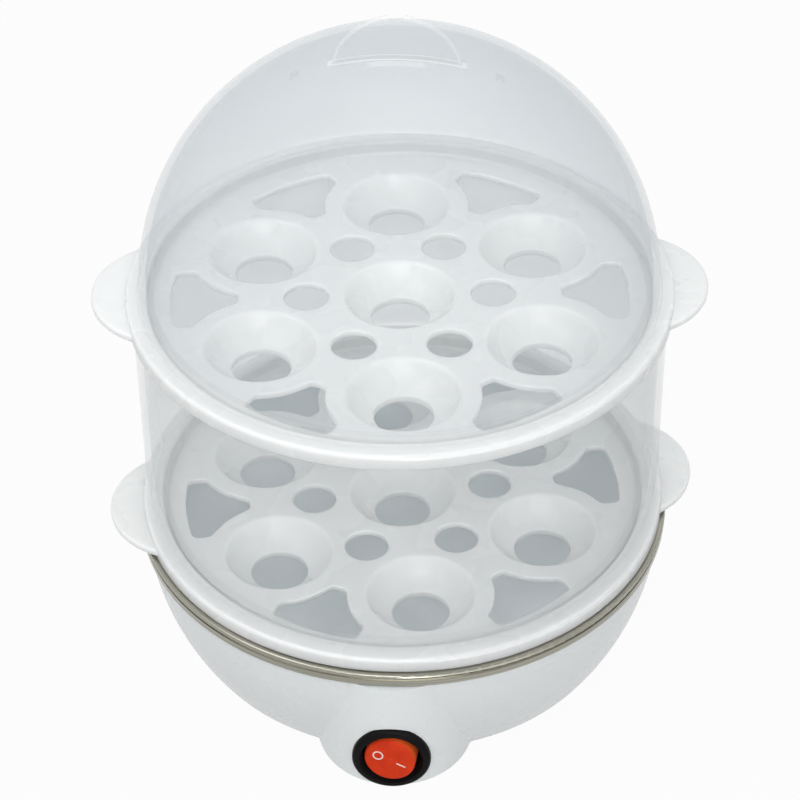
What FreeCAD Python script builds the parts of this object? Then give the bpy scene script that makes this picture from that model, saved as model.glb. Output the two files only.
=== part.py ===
import FreeCAD, Part
import math
import os

# Two-tier electric egg cooker. Millimetres, +Z up, origin on the upright axis at table level,
# the switch boss towards -Y and the finger ears of the trays towards +X and -X.

V = FreeCAD.Vector
UP = V(0, 0, 1)
DOWN = V(0, 0, -1)
FRONT = V(0, -1, 0)
BACK = V(0, 1, 0)
PIVOT = V(0, 1, 0)

# Clearances between pieces
stack_gap = 0.3
seat_clearance = 0.4
spigot_clearance = 0.3
running_clearance = 0.05
hole_clearance = 0.2

# Feet and bottom cover
foot_height = 2.5
foot_radius = 6.0
foot_inset = 26.75
foot_stem_radius = 2.4
foot_barb_radius = 3.0
foot_barb_height = 1.6
foot_count = 4
foot_first_angle = 45.0
cover_thickness = 2.0
cover_gap = 0.4

# Housing bowl
housing_height = 41.8
housing_wall = 2.2
bowl_radius = 78.75
housing_edge_round = 0.8

# Switch boss on the front of the housing
boss_radius = 23.0
boss_overhang = 2.65
boss_floor = 1.3
boss_top_gap = 0.5
boss_blend = 1.0

# Heating pan
pan_sheet = 0.8
pan_depth = 25.8
pan_corner = 22.0
pan_mouth_round = 1.0
bead_overhang = 0.15
bead_height = 1.7
bead_round = 0.8
bead_groove = 0.35
lip_wall = 1.0
lip_length = 2.0
gasket_thickness = 1.2

# Egg tray
tray_overhang = 0.05
tray_sheet = 1.8
skirt_height = 4.3
skirt_wall = 1.2
rim_step = 4.5
flange_width = 6.1
step_wall = 1.6
rim_edge_round = 1.1
rim_inner_round = 0.6
plate_root_round = 1.2
cup_circle = 46.0
cup_count = 6
cup_first_angle = 30.0
cup_mouth_radius = 16.0
cup_seat_radius = 18.0
cup_hole_radius = 8.5
cup_lip_round = 1.4
drain_circle = 27.0
drain_radius = 6.55
window_tip_radius = 46.8
window_margin = 6.5
window_half_width = 13.4
window_side_radius = 21.7
window_corner = 2.2
hole_edge_round = 0.5
cut_margin = 1.0
ear_inset = 14.1
ear_radius = 24.2
ear_sheet = 2.4
ear_drop = 1.4
ear_edge_round = 0.8
ear_blend = 3.0
lower_tray_turn = 9.15
upper_tray_turn = 3.8

# Shoulder and spigot shared by the tier ring and the lid
shoulder_width = 2.7
shoulder_height = 1.8
spigot_wall = 1.5
spigot_depth = 2.5
clear_wall = 2.0
clear_edge_round = 0.5

# Tier ring and lid
tier_height = 72.5
tier_flare_height = 15.0
dome_inset = 0.6
fin_width = 34.3
fin_height = 12.9
fin_sheet = 2.2
fin_edge_round = 0.6
notch_width = 4.3
notch_depth = 2.3
vent_radius = 1.2
vent_offset = 28.0

# Heater under the pan
plate_radius = 36.0
plate_thickness = 4.0
element_circle = 29.0
element_radius = 3.3
element_sink = 0.3
element_gap_angle = 44.0
pin_radius = 1.5
pin_length = 5.0
pin_lead_run = 3.4
plate_notch_half_width = 9.0
plate_notch_radius = 24.0
bead_bush_radius = 2.6
bead_bush_length = 2.5
stud_radius = 2.0
stud_inset = 6.2
stud_count = 3
stud_spare = 1.5
washer_radius = 4.5
washer_thickness = 0.8
nut_across_flats = 7.0
nut_sides = 6
nut_height = 3.2
lug_top_drop = 4.4
lug_thickness = 2.5
lug_half_width = 6.0
lug_overhang = 6.0

# Thermostat and thermal fuse
thermostat_offset = 14.5
thermostat_radius = 8.0
thermostat_height = 6.5
thermostat_flange_radius = 9.0
thermostat_flange = 1.0
strap_sheet = 0.8
strap_hub_radius = 5.5
strap_eye_radius = 9.6
blade_width = 6.3
blade_sheet = 0.8
blade_reach = 14.0
blade_root = 3.0
fuse_offset = 14.5
fuse_radius = 2.2
fuse_length = 12.0
fuse_wire_radius = 0.5
fuse_wire_length = 4.0
clip_sheet = 0.6
clip_width = 5.0
clip_slack = 0.15
clip_foot = 4.0
rivet_radius = 1.2
rivet_head_radius = 1.9
rivet_head_height = 0.8
rivet_depth = 2.0

# Rocker switch, in its own frame: u from O to I, v along the rocker's pivot, w outwards
switch_height = 11.9
switch_roll = 22.0
switch_inset = 0.8
switch_pad_radius = 11.3
switch_pad_depth = 4.8
bezel_radius = 11.5
bezel_thickness = 2.0
bezel_round = 1.3
bezel_flare = 0.9
barrel_radius = 9.9
barrel_depth = 12.0
barrel_back = 1.8
rocker_well_radius = 8.4
snap_reach = 0.8
snap_width = 5.0
snap_length = 3.0
rocker_radius = 7.5
rocker_top = 2.2
rocker_bottom = 4.5
rocker_tilt = 9.0
rocker_edge_round = 0.7
pivot_depth = 1.5
trunnion_radius = 1.2
plunger_radius = 1.3
plunger_reach = 6.65
plunger_bore_depth = 4.0
arm_length = 11.0
arm_width = 4.0
arm_sheet = 0.5
arm_tilt = 5.0
arm_gap = 0.2
switch_blade_pitch = 4.3
switch_blade_width = 4.8
switch_blade_sheet = 0.8
switch_blade_length = 8.0
lamp_radius = 1.0
lamp_length = 5.0
lamp_offset = 3.4

# Cord entry at the back
gland_height = 10.0
gland_inset = 5.25
gland_pad_radius = 8.0
gland_pad_depth = 7.0
gland_neck_radius = 4.8
gland_bore_radius = 3.2
gland_flange_radius = 6.5
gland_flange = 1.8
gland_lip_radius = 6.0
gland_lip = 1.5
gland_snout_radius = 4.6
gland_snout = 6.5
clamp_setback = 21.5
clamp_length = 24.0
clamp_width = 8.0
clamp_bar_wall = 1.5
clamp_screw_spread = 9.0

# Cover screws and the posts that take them
screw_inset = 23.75
screw_count = 3
screw_first_angle = 60.0
screw_radius = 1.4
screw_head_radius = 2.9
screw_head_height = 1.6
screw_bite = 9.5
post_radius = 4.0
post_height = 12.5
rib_thickness = 2.4

# Terminal block and inner leads
block_x = 20.0
block_y = 36.0
block_length = 20.0
block_width = 12.0
block_height = 8.5
block_pitch = 6.0
block_insert = 4.0
lead_radius = 1.1
lead_bend_share = 0.45
lead_run = 7.0
live_route = [(36.0, 10.0, 8.5), (36.0, -20.0, 8.5), (12.0, -48.0, 10.0)]
switched_route = [(6.0, -38.0, 10.0)]
heater_route = [(4.0, 33.0, 9.0)]
fuse_route = [(-5.0, 33.0, 9.0), (-14.5, 24.0, 9.5)]
return_route = [(-12.0, -27.0, 5.9), (10.0, -30.0, 5.9), (30.0, -16.0, 5.9), (30.0, 14.0, 5.9)]

# Heights that follow from the sizes above
housing_bottom = foot_height
housing_top = housing_bottom + housing_height
cover_top = housing_bottom + cover_thickness
pan_flange_under = housing_top + gasket_thickness
pan_flange_top = pan_flange_under + pan_sheet
pan_floor_top = pan_flange_top - pan_depth
pan_floor_under = pan_floor_top - pan_sheet
lip_bottom = pan_flange_top - bead_height - bead_groove - lip_length
boss_top = lip_bottom - boss_top_gap
plate_under = pan_floor_under - plate_thickness
lug_top = pan_floor_under - lug_top_drop
lug_under = lug_top - lug_thickness
strap_top = plate_under - thermostat_flange
strap_under = strap_top - strap_sheet
switch_z = housing_bottom + switch_height
gland_z = housing_bottom + gland_height

# Heights inside a tray, from the skirt's lower edge
flange_top = skirt_height
flange_under = flange_top - tray_sheet
tray_top = flange_top - rim_step
tray_under = tray_top - tray_sheet

# Where the stacked pieces stand
lower_tray_z = pan_flange_top + stack_gap
tier_z = lower_tray_z + flange_top + stack_gap
upper_tray_z = tier_z + tier_height + stack_gap - flange_under
lid_z = upper_tray_z + flange_top + stack_gap

# Radii and places that follow from the bowl's radius and the fits
tray_rim_radius = bowl_radius + tray_overhang
flange_inner_radius = tray_rim_radius - flange_width
step_outer_radius = flange_inner_radius + step_wall
skirt_inner_radius = tray_rim_radius - skirt_wall
window_outer_radius = flange_inner_radius - window_margin
ear_centre = tray_rim_radius - ear_inset
pan_mouth_radius = step_outer_radius + seat_clearance
stud_circle = pan_mouth_radius - pan_corner - stud_inset
tier_radius = skirt_inner_radius - seat_clearance
spigot_radius = flange_inner_radius - spigot_clearance
shoulder_radius = flange_inner_radius + shoulder_width
dome_radius = shoulder_radius - dome_inset
lip_inner_radius = bowl_radius + seat_clearance
lip_radius = lip_inner_radius + lip_wall
bead_radius = lip_radius + bead_overhang
boss_offset = bowl_radius + boss_overhang - boss_radius
switch_seat = bowl_radius + boss_overhang - switch_inset
foot_circle = bowl_radius - foot_inset
screw_circle = bowl_radius - screw_inset
gland_face = bowl_radius - gland_inset
clamp_distance = gland_face - clamp_setback


def polar(radius, angle, z=0.0):
    """Point at a radius and an angle in degrees about the upright axis."""
    return V(radius * math.cos(math.radians(angle)), radius * math.sin(math.radians(angle)), z)


def ring_angles(count, first):
    """Angles of evenly spaced copies about the upright axis."""
    return [first + 360.0 * i / count for i in range(count)]


def outline(steps):
    """Closed face in the XZ plane: (r, z) is a straight run, (r, z, mid_r, mid_z) an arc."""
    edges = []
    here = V(steps[0][0], 0, steps[0][1])
    for step in steps[1:] + steps[:1]:
        there = V(step[0], 0, step[1])
        if len(step) == 4:
            edges.append(Part.Arc(here, V(step[2], 0, step[3]), there).toShape())
        else:
            edges.append(Part.LineSegment(here, there).toShape())
        here = there
    return Part.Face(Part.Wire(edges))


def turned(steps):
    """Solid of revolution about the upright axis."""
    return outline(steps).revolve(V(0, 0, 0), UP, 360)


def cylinder(radius, start, direction, length):
    return Part.makeCylinder(radius, length, start, direction)


def tube(outer, inner, start, direction, length):
    return cylinder(outer, start, direction, length).cut(cylinder(inner, start, direction, length))


def box(low, high):
    return Part.makeBox(high.x - low.x, high.y - low.y, high.z - low.z, low)


def fused(shapes):
    """One solid of several overlapping ones."""
    return shapes[0].multiFuse(shapes[1:]).removeSplitter()


def group(shapes):
    """Separate solids that share one node."""
    return Part.makeCompound(shapes)


def is_ring(edge, radius, z):
    """True for a full circle about the upright axis at that radius and height."""
    if edge.Degenerated or not isinstance(edge.Curve, Part.Circle):
        return False
    curve = edge.Curve
    off_axis = math.hypot(curve.Center.x, curve.Center.y)
    return off_axis < 0.01 and abs(curve.Radius - radius) < 0.01 and abs(curve.Center.z - z) < 0.01


def circles_of(shape, radius):
    """Flat circular edges of one radius."""
    edges = [e for e in shape.Edges if e.BoundBox.ZLength < 0.001 and isinstance(e.Curve, Part.Circle)]
    return [e for e in edges if abs(e.Curve.Radius - radius) < 0.01]


def round_rings(shape, size, rings):
    """Fillet the circular edges at the given (radius, height) pairs."""
    edges = [e for e in shape.Edges if any(is_ring(e, r, z) for r, z in rings)]
    return shape.makeFillet(size, edges)


def edges_at_height(shape, z):
    """Edges that lie flat at one height."""
    flat = [e for e in shape.Edges if e.BoundBox.ZLength < 0.001]
    return [e for e in flat if abs(e.BoundBox.ZMin - z) < 0.001]


def upright_edges(shape):
    """Straight edges along the upright axis."""
    straight = [e for e in shape.Edges if isinstance(e.Curve, Part.Line)]
    return [e for e in straight if abs(e.BoundBox.ZLength - e.Length) < 0.001]


def bowl_ball(inset):
    """Ball of the bowl's curve, inset from its outer face; its equator is the bowl's upper edge."""
    return Part.makeSphere(bowl_radius - inset, V(0, 0, housing_top))


def bowl_radius_at(z, inset):
    """Radius of the bowl's wall at a height."""
    return math.sqrt((bowl_radius - inset) ** 2 - (housing_top - z) ** 2)


def switch_placement():
    """Maps the switch's own u, v, w frame to its seat on the boss."""
    roll = math.radians(switch_roll)
    turn = FreeCAD.Matrix()
    turn.A11, turn.A12, turn.A13 = math.cos(roll), math.sin(roll), 0
    turn.A21, turn.A22, turn.A23 = 0, 0, -1
    turn.A31, turn.A32, turn.A33 = -math.sin(roll), math.cos(roll), 0
    turn.A14, turn.A24, turn.A34 = 0, -switch_seat, switch_z
    return FreeCAD.Placement(turn)


def on_switch(shape):
    placed = shape.copy()
    placed.Placement = switch_placement().multiply(placed.Placement)
    return placed


def tilted(shape, angle, depth):
    """Turn a switch piece about the pivot line that lies at a depth behind the seat."""
    placed = shape.copy()
    placed.rotate(V(0, 0, -depth), PIVOT, angle)
    return placed


def boss_column(inset, low, high):
    return cylinder(boss_radius - inset, V(0, -boss_offset, low), UP, high - low)


def housing_skin():
    """Bowl and boss filled solid, blended where they meet and rounded underneath."""
    slab = box(V(-bowl_radius, -bowl_radius, housing_bottom), V(bowl_radius, bowl_radius, housing_top))
    skin = fused([bowl_ball(0).common(slab), boss_column(0, housing_bottom, boss_top)])
    seams = [e for e in skin.Edges if isinstance(e.Curve, Part.BSplineCurve)]
    skin = skin.makeFillet(boss_blend, seams)
    return skin.makeFillet(housing_edge_round, edges_at_height(skin, housing_bottom))


def base_housing():
    """Bowl and boss as one moulding, with its lugs, posts and flat seats."""
    shell = housing_skin().cut(bowl_ball(housing_wall))
    shell = shell.cut(boss_column(housing_wall, housing_bottom + boss_floor, boss_top - housing_wall))
    seat = V(0, -switch_seat, switch_z)
    shell = shell.cut(cylinder(bezel_radius + hole_clearance, seat, FRONT, boss_radius))
    shell = shell.cut(cylinder(gland_pad_radius, gland_axis_point(gland_face), BACK, gland_pad_depth))
    pad = cylinder(switch_pad_radius, seat, BACK, switch_pad_depth)
    shell = shell.fuse([pad, gland_pad()] + lugs() + posts())
    holes = [cylinder(barrel_radius + hole_clearance, seat, BACK, switch_pad_depth), gland_hole()]
    for angle in ring_angles(stud_count, 0):
        start = polar(stud_circle, angle, lug_under)
        holes.append(cylinder(stud_radius + hole_clearance, start, UP, lug_thickness))
    for angle in ring_angles(screw_count, screw_first_angle):
        holes.append(cylinder(screw_radius, polar(screw_circle, angle, cover_top), UP, screw_bite))
    return shell.cut(holes).removeSplitter()


def lugs():
    """Inward tabs that the pan's studs are bolted to."""
    wall = bowl_ball(housing_wall / 2)
    low = V(stud_circle - lug_overhang, -lug_half_width, lug_under)
    high = V(bowl_radius, lug_half_width, lug_top)
    tabs = []
    for angle in ring_angles(stud_count, 0):
        tab = box(low, high)
        tab.rotate(V(0, 0, 0), UP, angle)
        tabs.append(tab.common(wall))
    return tabs


def posts():
    """Screw posts for the bottom cover, each tied to the wall by a rib."""
    wall = bowl_ball(housing_wall / 2)
    low = V(screw_circle, -rib_thickness / 2, cover_top)
    high = V(bowl_radius, rib_thickness / 2, cover_top + post_height)
    pieces = []
    for angle in ring_angles(screw_count, screw_first_angle):
        rib = box(low, high)
        rib.rotate(V(0, 0, 0), UP, angle)
        post = cylinder(post_radius, polar(screw_circle, angle, cover_top), UP, post_height)
        pieces.append(fused([post, rib.common(wall)]))
    return pieces


def gland_axis_point(y):
    return V(0, y, gland_z)


def gland_pad():
    """Flat-faced thickening of the wall round the cord's hole."""
    start = gland_axis_point(gland_face - gland_pad_depth)
    return cylinder(gland_pad_radius, start, BACK, gland_pad_depth)


def gland_hole():
    start = gland_axis_point(gland_face - 2 * gland_pad_depth)
    return cylinder(gland_neck_radius + hole_clearance, start, BACK, 3 * gland_pad_depth)


def cord_gland():
    """Grooved rubber bush that snaps into the housing's back."""
    inner_face = gland_face - gland_pad_depth
    bush = fused([
        cylinder(gland_lip_radius, gland_axis_point(inner_face - gland_lip), BACK, gland_lip),
        cylinder(gland_neck_radius, gland_axis_point(inner_face), BACK, gland_pad_depth),
        cylinder(gland_flange_radius, gland_axis_point(gland_face), BACK, gland_flange),
        cylinder(gland_snout_radius, gland_axis_point(gland_face + gland_flange), BACK, gland_snout),
    ])
    length = gland_lip + gland_pad_depth + gland_flange + gland_snout
    bore = cylinder(gland_bore_radius, gland_axis_point(inner_face - gland_lip), BACK, length)
    return bush.cut(bore)


def bottom_cover():
    """Plate that closes the housing, with the lower half of the cord clamp."""
    radius = bowl_radius_at(housing_bottom, housing_wall) - cover_gap
    plate = cylinder(radius, V(0, 0, housing_bottom), UP, cover_thickness)
    plate = fused([plate, clamp_block(housing_bottom, gland_z)])
    for angle in ring_angles(foot_count, foot_first_angle):
        start = polar(foot_circle, angle, housing_bottom)
        plate = plate.cut(cylinder(foot_stem_radius + running_clearance, start, UP, cover_thickness))
    for angle in ring_angles(screw_count, screw_first_angle):
        start = polar(screw_circle, angle, housing_bottom)
        plate = plate.cut(cylinder(screw_radius + hole_clearance, start, UP, cover_thickness))
    for point in clamp_screw_points():
        plate = plate.cut(cylinder(screw_radius, point, UP, gland_z - cover_top))
    return plate


def clamp_block(low, high):
    """Half of the cord clamp between two heights, with the cord's round channel."""
    half_length = clamp_length / 2
    near = clamp_distance - clamp_width / 2
    far = clamp_distance + clamp_width / 2
    block = box(V(-half_length, near, low), V(half_length, far, high))
    return block.cut(cylinder(gland_bore_radius, gland_axis_point(near), BACK, clamp_width))


def clamp_top():
    return gland_z + gland_bore_radius + clamp_bar_wall


def clamp_screw_points():
    return [V(side * clamp_screw_spread, clamp_distance, cover_top) for side in (-1, 1)]


def cord_clamp():
    """Upper half of the cord clamp, seated on the cover's half."""
    bar = clamp_block(gland_z, clamp_top())
    for point in clamp_screw_points():
        bar = bar.cut(cylinder(screw_radius + hole_clearance, point, UP, clamp_top()))
    return bar


def clamp_screws():
    """Two screws that pull the clamp bar down."""
    screws = []
    for point in clamp_screw_points():
        shank = cylinder(screw_radius, point, UP, clamp_top() - cover_top)
        head = cylinder(screw_head_radius, V(point.x, point.y, clamp_top()), UP, screw_head_height)
        screws.append(fused([shank, head]))
    return group(screws)


def cover_screws():
    """Screws from below through the cover into the housing's posts."""
    screws = []
    for angle in ring_angles(screw_count, screw_first_angle):
        seat = polar(screw_circle, angle, housing_bottom)
        shank = cylinder(screw_radius, seat, UP, cover_thickness + screw_bite)
        head = cylinder(screw_head_radius, seat, DOWN, screw_head_height)
        screws.append(fused([shank, head]))
    return group(screws)


def foot(angle):
    """Rubber foot with a barbed stem through the cover."""
    pad = cylinder(foot_radius, polar(foot_circle, angle, 0), UP, foot_height)
    pad = pad.makeFillet(foot_height / 4, edges_at_height(pad, 0))
    stem = cylinder(foot_stem_radius, polar(foot_circle, angle, housing_bottom), UP, cover_thickness)
    barb_seat = polar(foot_circle, angle, cover_top)
    barb = Part.makeCone(foot_barb_radius, foot_stem_radius, foot_barb_height, barb_seat, UP)
    return fused([pad, stem, barb])


def heating_pan():
    """Pressed pan with a rolled bead and a folded lip over the housing's edge."""
    mouth = pan_mouth_radius
    outer = mouth + pan_sheet
    corner_r = mouth - pan_corner
    corner_z = pan_floor_top + pan_corner
    diagonal = math.sqrt(0.5)
    bead_bottom = pan_flange_top - bead_height
    groove_radius = lip_radius - bead_groove
    lip_top = bead_bottom - bead_groove
    bead_turn = bead_round * (1 - diagonal)
    mouth_turn = pan_mouth_round * (1 - diagonal)
    inner_turn = pan_corner * diagonal
    outer_turn = (pan_corner + pan_sheet) * diagonal
    return turned([
        (0, pan_floor_under),
        (corner_r, pan_floor_under),
        (outer, corner_z, corner_r + outer_turn, corner_z - outer_turn),
        (outer, pan_flange_under),
        (lip_inner_radius, pan_flange_under),
        (lip_inner_radius, lip_bottom),
        (lip_radius, lip_bottom),
        (lip_radius, lip_top),
        (groove_radius, lip_top),
        (groove_radius, bead_bottom),
        (bead_radius - bead_round, bead_bottom),
        (bead_radius, bead_bottom + bead_round, bead_radius - bead_turn, bead_bottom + bead_turn),
        (bead_radius, pan_flange_top - bead_round),
        (bead_radius - bead_round, pan_flange_top, bead_radius - bead_turn, pan_flange_top - bead_turn),
        (mouth + pan_mouth_round, pan_flange_top),
        (mouth, pan_flange_top - pan_mouth_round, mouth + mouth_turn, pan_flange_top - mouth_turn),
        (mouth, corner_z),
        (corner_r, pan_floor_top, corner_r + inner_turn, corner_z - inner_turn),
        (0, pan_floor_top),
    ])


def rim_gasket():
    """Silicone ring that seals the pan's flange to the housing's edge."""
    inner = bowl_radius_at(housing_top, housing_wall)
    return tube(bowl_radius, inner, V(0, 0, housing_top), UP, gasket_thickness)


def element_path():
    """Ring of the element, open at the back."""
    half_gap = element_gap_angle / 2
    height = plate_under - element_sink
    start = polar(element_circle, 90 + half_gap, height)
    middle = polar(element_circle, 270, height)
    end = polar(element_circle, 90 - half_gap, height)
    return Part.Wire([Part.Arc(start, middle, end).toShape()])


def element_tube(radius):
    half_gap = element_gap_angle / 2
    start = polar(element_circle, 90 + half_gap, plate_under - element_sink)
    section = Part.Wire([Part.Circle(start, polar(1, 180 + half_gap), radius).toShape()])
    return element_path().makePipeShell([section], True, True)


def element_ends():
    """End points of the element's ring, each with the direction its pin takes."""
    half_gap = element_gap_angle / 2
    height = plate_under - element_sink
    return [
        (polar(element_circle, 90 - half_gap, height), polar(1, 180 - half_gap)),
        (polar(element_circle, 90 + half_gap, height), polar(1, half_gap)),
    ]


def element_pins():
    """Cold pins with ceramic beads at the ends of the element."""
    pins = []
    for point, direction in element_ends():
        bead = cylinder(bead_bush_radius, point, direction, bead_bush_length)
        pins.append(fused([bead, cylinder(pin_radius, point, direction, pin_length)]))
    return group(pins)


def heating_plate():
    """Aluminium disc that spreads the element's heat under the pan."""
    plate = cylinder(plate_radius, V(0, 0, plate_under), UP, plate_thickness)
    plate = plate.cut(cylinder(stud_radius + hole_clearance, V(0, 0, plate_under), UP, plate_thickness))
    plate = plate.cut(element_tube(element_radius + running_clearance))
    notch_low = V(-plate_notch_half_width, plate_notch_radius, plate_under)
    plate = plate.cut(box(notch_low, V(plate_notch_half_width, plate_radius, pan_floor_under)))
    for point, direction in element_ends():
        plate = plate.cut(cylinder(element_radius + running_clearance, point, direction, pin_length))
    for x in rivet_places():
        plate = plate.cut(cylinder(rivet_radius, V(x, 0, plate_under), UP, rivet_depth))
    return plate


def centre_stack():
    """Heights of the spacer, strap, washer and nut on the pan's middle stud, from the top down."""
    washer_top = strap_under
    nut_top = washer_top - washer_thickness
    return washer_top, nut_top


def pan_studs():
    """Studs welded under the pan: a middle one for the plate, three for the housing's lugs."""
    nut_top = centre_stack()[1]
    centre_length = pan_floor_under - nut_top + nut_height + stud_spare
    outer_length = pan_floor_under - lug_under + washer_thickness + nut_height + stud_spare
    studs = [cylinder(stud_radius, V(0, 0, pan_floor_under), DOWN, centre_length)]
    for angle in ring_angles(stud_count, 0):
        start = polar(stud_circle, angle, pan_floor_under)
        studs.append(cylinder(stud_radius, start, DOWN, outer_length))
    return group(studs)


def washer(top, thickness, angle=None):
    centre = V(0, 0, top) if angle is None else polar(stud_circle, angle, top)
    return tube(washer_radius, stud_radius + hole_clearance, centre, DOWN, thickness)


def stud_washers():
    rings = [washer(plate_under, thermostat_flange), washer(centre_stack()[0], washer_thickness)]
    rings += [washer(lug_under, washer_thickness, angle) for angle in ring_angles(stud_count, 0)]
    return group(rings)


def nut(centre):
    """Hexagon nut that hangs down from a point on its stud."""
    corner = nut_across_flats / 2 / math.cos(math.pi / nut_sides)
    points = [centre + polar(corner, angle) for angle in ring_angles(nut_sides, 0)]
    prism = Part.Face(Part.makePolygon(points + points[:1])).extrude(V(0, 0, -nut_height))
    return prism.cut(cylinder(stud_radius, centre, DOWN, nut_height))


def stud_nuts():
    nuts = [nut(V(0, 0, centre_stack()[1]))]
    for angle in ring_angles(stud_count, 0):
        nuts.append(nut(polar(stud_circle, angle, lug_under - washer_thickness)))
    return group(nuts)


def thermostat_body():
    """Bimetal thermostat, its flange against the plate."""
    seat = V(thermostat_offset, 0, plate_under)
    flange = cylinder(thermostat_flange_radius, seat, DOWN, thermostat_flange)
    body = cylinder(thermostat_radius, seat, DOWN, thermostat_flange + thermostat_height)
    return fused([flange, body])


def thermostat_bottom():
    return plate_under - thermostat_flange - thermostat_height


def thermostat_blades():
    """Two flat blades under the thermostat, one to each side."""
    top = thermostat_bottom()
    blades = []
    for side in (-1, 1):
        near, far = sorted((side * blade_root, side * blade_reach))
        low = V(thermostat_offset - blade_width / 2, near, top - blade_sheet)
        high = V(thermostat_offset + blade_width / 2, far, top)
        blades.append(box(low, high))
    return group(blades)


def thermostat_strap():
    """Sheet strap from the middle stud round the thermostat's body."""
    hub = cylinder(strap_hub_radius, V(0, 0, strap_under), UP, strap_sheet)
    eye = cylinder(strap_eye_radius, V(thermostat_offset, 0, strap_under), UP, strap_sheet)
    web = box(V(0, -strap_hub_radius, strap_under), V(thermostat_offset, strap_hub_radius, strap_top))
    strap = fused([hub, eye, web])
    strap = strap.cut(cylinder(stud_radius + hole_clearance, V(0, 0, strap_under), UP, strap_sheet))
    eye_centre = V(thermostat_offset, 0, strap_under)
    return strap.cut(cylinder(thermostat_radius + hole_clearance, eye_centre, UP, strap_sheet))


def thermal_fuse():
    """Axial fuse that lies against the plate, with its two wire ends."""
    start = V(-fuse_offset, -fuse_length / 2, plate_under - fuse_radius)
    body = cylinder(fuse_radius, start, BACK, fuse_length)
    wire_start = start - V(0, fuse_wire_length, 0)
    wire = cylinder(fuse_wire_radius, wire_start, BACK, fuse_length + 2 * fuse_wire_length)
    return fused([body, wire])


def clip_inner_half():
    return fuse_radius + clip_slack


def rivet_places():
    """X of the two rivets, in the middle of the clip's feet."""
    reach = clip_inner_half() + clip_sheet + clip_foot / 2
    return [-fuse_offset - reach, -fuse_offset + reach]


def fuse_clip():
    """Hat-shaped saddle over the fuse."""
    half = clip_inner_half()
    across = half + clip_sheet
    reach = across + clip_foot
    foot_under = plate_under - clip_sheet
    crown = plate_under - 2 * fuse_radius - clip_slack
    crown_under = crown - clip_sheet
    left = [(-reach, plate_under), (-half, plate_under), (-half, crown)]
    right = [(half, crown), (half, plate_under), (reach, plate_under)]
    below = [(reach, foot_under), (across, foot_under), (across, crown_under)]
    back = [(-across, crown_under), (-across, foot_under), (-reach, foot_under)]
    points = [V(x - fuse_offset, -clip_width / 2, z) for x, z in left + right + below + back]
    clip = Part.Face(Part.makePolygon(points + points[:1])).extrude(V(0, clip_width, 0))
    for x in rivet_places():
        clip = clip.cut(cylinder(rivet_radius, V(x, 0, plate_under), DOWN, clip_sheet))
    return clip


def fuse_rivets():
    """Rivets through the clip's feet into the plate."""
    rivets = []
    for x in rivet_places():
        seat = plate_under - clip_sheet
        shank = cylinder(rivet_radius, V(x, 0, seat), UP, clip_sheet + rivet_depth)
        head = cylinder(rivet_head_radius, V(x, 0, seat), DOWN, rivet_head_height)
        rivets.append(fused([shank, head]))
    return group(rivets)


def switch_body():
    """Black barrel and bezel of the switch, with its snap wings."""
    bezel = cylinder(bezel_radius, V(0, 0, 0), UP, bezel_thickness)
    bezel = round_rings(bezel, bezel_round, [(bezel_radius, bezel_thickness)])
    barrel = cylinder(barrel_radius, V(0, 0, -barrel_depth), UP, barrel_depth)
    wing_top = -switch_pad_depth - hole_clearance
    wing_reach = barrel_radius + snap_reach
    wing_low = V(-wing_reach, -snap_width / 2, wing_top - snap_length)
    wing = box(wing_low, V(wing_reach, snap_width / 2, wing_top))
    body = fused([bezel, barrel, wing])
    mouth_radius = rocker_well_radius + bezel_flare
    flare = Part.makeCone(rocker_well_radius, mouth_radius, bezel_thickness, V(0, 0, 0), UP)
    well_depth = barrel_depth - barrel_back
    well = cylinder(rocker_well_radius, V(0, 0, -well_depth), UP, well_depth)
    body = body.cut(well.fuse(flare))
    pivot_start = V(0, -barrel_radius, -pivot_depth)
    pivot_hole = cylinder(trunnion_radius + running_clearance, pivot_start, PIVOT, 2 * barrel_radius)
    body = body.cut(pivot_hole)
    for u in (-switch_blade_pitch, 0, switch_blade_pitch):
        body = body.cut(switch_blade_bar(u, -barrel_depth, -well_depth))
    return on_switch(body)


def switch_blade_bar(u, low, high):
    half_sheet = switch_blade_sheet / 2
    half_width = switch_blade_width / 2
    return box(V(u - half_sheet, -half_width, low), V(u + half_sheet, half_width, high))


def arm_pivot_depth():
    """Depth of the seesaw contact's pivot, a small gap under the plunger's tip."""
    return pivot_depth + plunger_reach + arm_gap + arm_sheet / 2


def switch_blades():
    """Spade terminals: a knife edge under the seesaw, a fixed contact and the lamp's feed."""
    back = -barrel_depth - switch_blade_length
    floor = -(barrel_depth - barrel_back)
    knife = -(arm_pivot_depth() + arm_sheet / 2 + arm_gap / 2)
    drop = switch_blade_pitch * math.tan(math.radians(arm_tilt))
    contact = knife - drop - arm_gap
    tops = {-switch_blade_pitch: contact, 0: knife, switch_blade_pitch: floor}
    return on_switch(group([switch_blade_bar(u, back, top) for u, top in tops.items()]))


def switch_rocker():
    """Round rocker on two trunnions, resting with its O side pressed in."""
    cap = cylinder(rocker_radius, V(0, 0, -rocker_bottom), UP, rocker_top + rocker_bottom)
    cap = round_rings(cap, rocker_edge_round, [(rocker_radius, rocker_top)])
    reach = barrel_radius - hole_clearance
    trunnion = cylinder(trunnion_radius, V(0, -reach, -pivot_depth), PIVOT, 2 * reach)
    rocker = fused([cap, trunnion])
    bore = cylinder(plunger_radius + running_clearance, V(0, 0, -rocker_bottom), UP, plunger_bore_depth)
    rocker = rocker.cut(bore).cut(lamp_solid(hole_clearance))
    return on_switch(tilted(rocker, -rocker_tilt, pivot_depth))


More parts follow.
